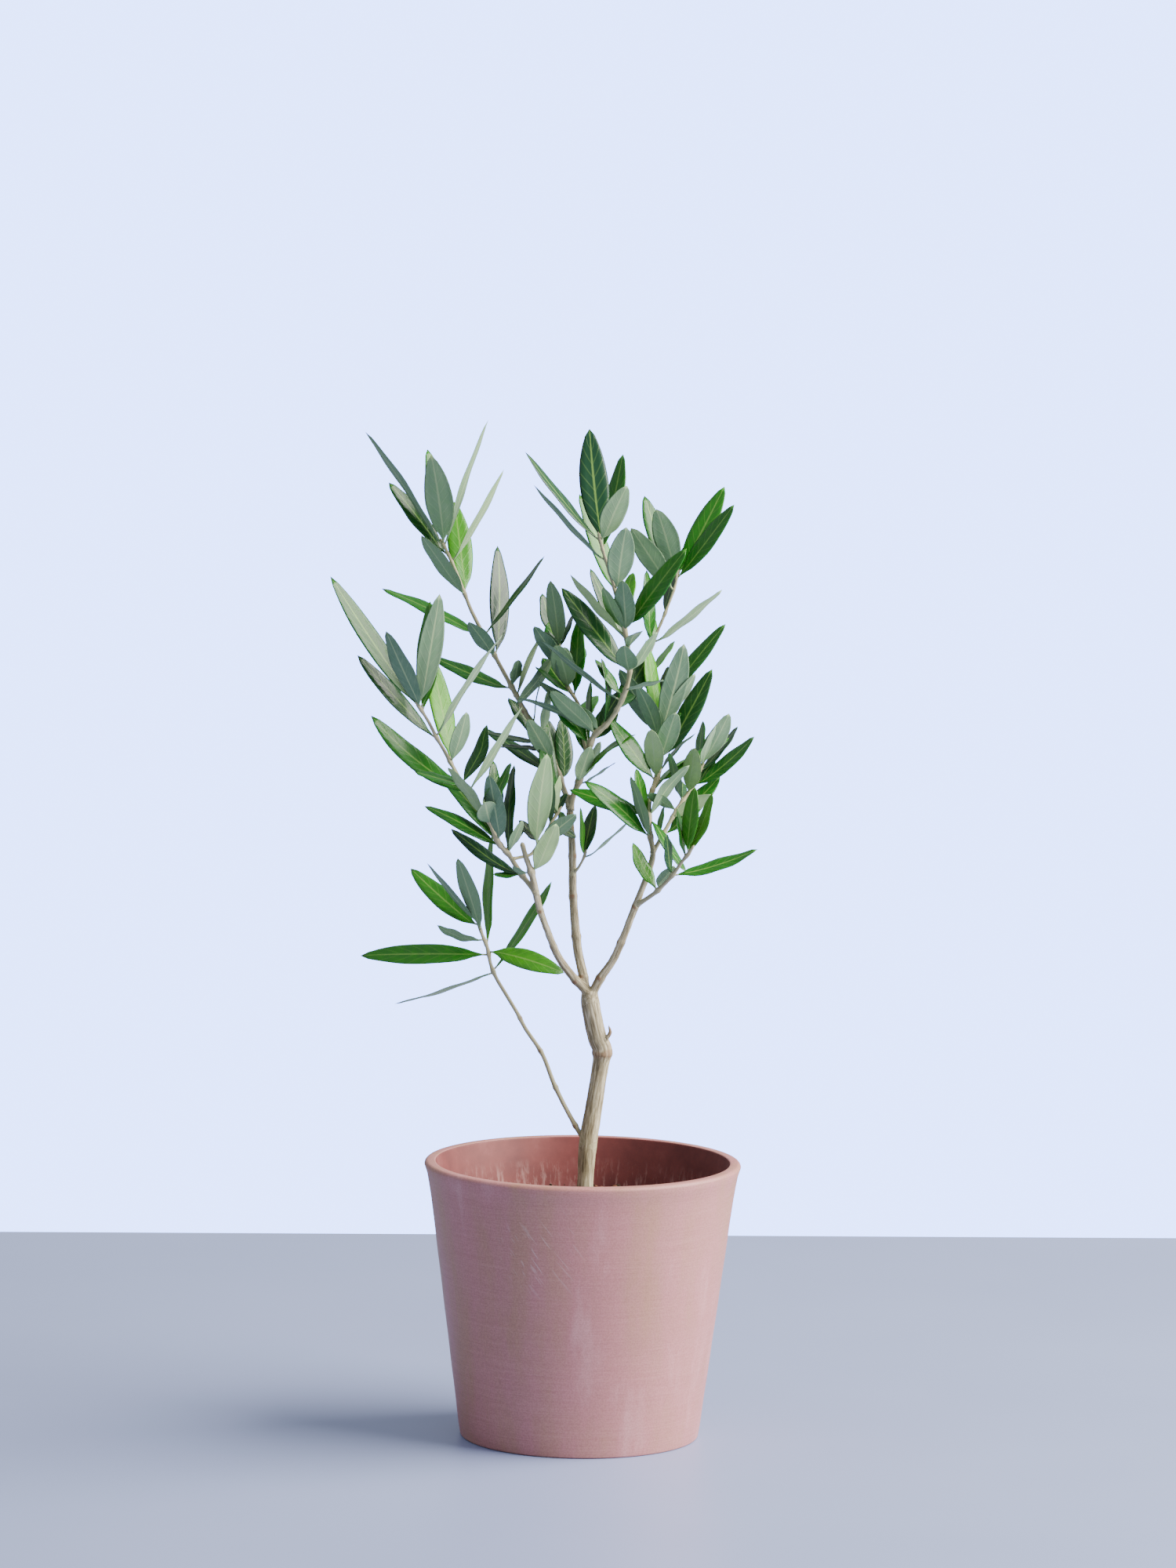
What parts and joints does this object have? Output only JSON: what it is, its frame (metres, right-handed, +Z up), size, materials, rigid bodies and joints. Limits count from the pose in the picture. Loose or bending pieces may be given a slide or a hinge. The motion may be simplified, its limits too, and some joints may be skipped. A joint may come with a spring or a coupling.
{
  "type": "potted young olive tree",
  "caption": "Young olive tree with a forked trunk, leafy shoots and narrow leaves, growing in a plain tapered clay pot.",
  "frame": {"origin": "centre of the pot's flat base, on the surface it stands on", "axes": "+Z up along the pot's axis, -Y to the front that the picture shows, +X to its right"},
  "size_m": [0.2419, 0.18, 0.5768],
  "materials": {
    "clay": "unglazed dusty pink clay, matt, faintly brushed",
    "soil": "loose dark potting soil",
    "bark": "pale grey-beige young bark, fine lengthwise streaks",
    "leaf": "leathery olive leaf, glossy green above and matt silver-green below"
  },
  "bodies": {
    "root": {"pot": "clay", "soil": "soil", "trunk": "bark", "centre_limb": "bark", "left_limb": "bark", "right_limb": "bark", "low_shoot": "bark", "left_arm_shoot": "bark", "stub_twig": "bark", "centre_side_twig": "bark", "top_centre_shoot": "bark", "upper_left_shoot": "bark", "middle_twig": "bark", "right_outer_twig": "bark", "right_low_twig": "bark", "low_shoot_leaves_1": "leaf", "low_shoot_leaves_2": "leaf", "low_shoot_tip_leaves": "leaf", "left_limb_leaves": "leaf", "left_arm_leaves_1": "leaf", "left_arm_leaves_2": "leaf", "left_arm_leaves_3": "leaf", "left_arm_leaves_4": "leaf", "left_arm_leaves_5": "leaf", "left_arm_leaves_6": "leaf", "left_arm_tip_leaves": "leaf", "stub_twig_leaves": "leaf", "stub_twig_tip_leaves": "leaf", "centre_side_twig_leaves": "leaf", "upper_left_leaves_1": "leaf", "upper_left_leaves_2": "leaf", "upper_left_leaves_3": "leaf", "upper_left_leaves_4": "leaf", "upper_left_leaves_5": "leaf", "upper_left_tip_leaves": "leaf", "top_centre_leaves_1": "leaf", "top_centre_leaves_2": "leaf", "top_centre_leaves_3": "leaf", "top_centre_leaves_4": "leaf", "top_centre_leaves_5": "leaf", "top_centre_leaves_6": "leaf", "top_centre_tip_leaves": "leaf", "middle_twig_leaves": "leaf", "middle_twig_tip_leaves": "leaf", "right_limb_leaves_1": "leaf", "right_limb_leaves_2": "leaf", "right_limb_leaves_3": "leaf", "right_limb_leaves_4": "leaf", "right_limb_leaves_5": "leaf", "right_limb_leaves_6": "leaf", "right_limb_leaves_7": "leaf", "right_limb_tip_leaves": "leaf", "right_outer_leaves_1": "leaf", "right_outer_leaves_2": "leaf", "right_outer_tip_leaves": "leaf", "right_low_leaves_1": "leaf", "right_low_leaves_2": "leaf", "right_low_tip_leaves": "leaf"}
  },
  "joints": []
}
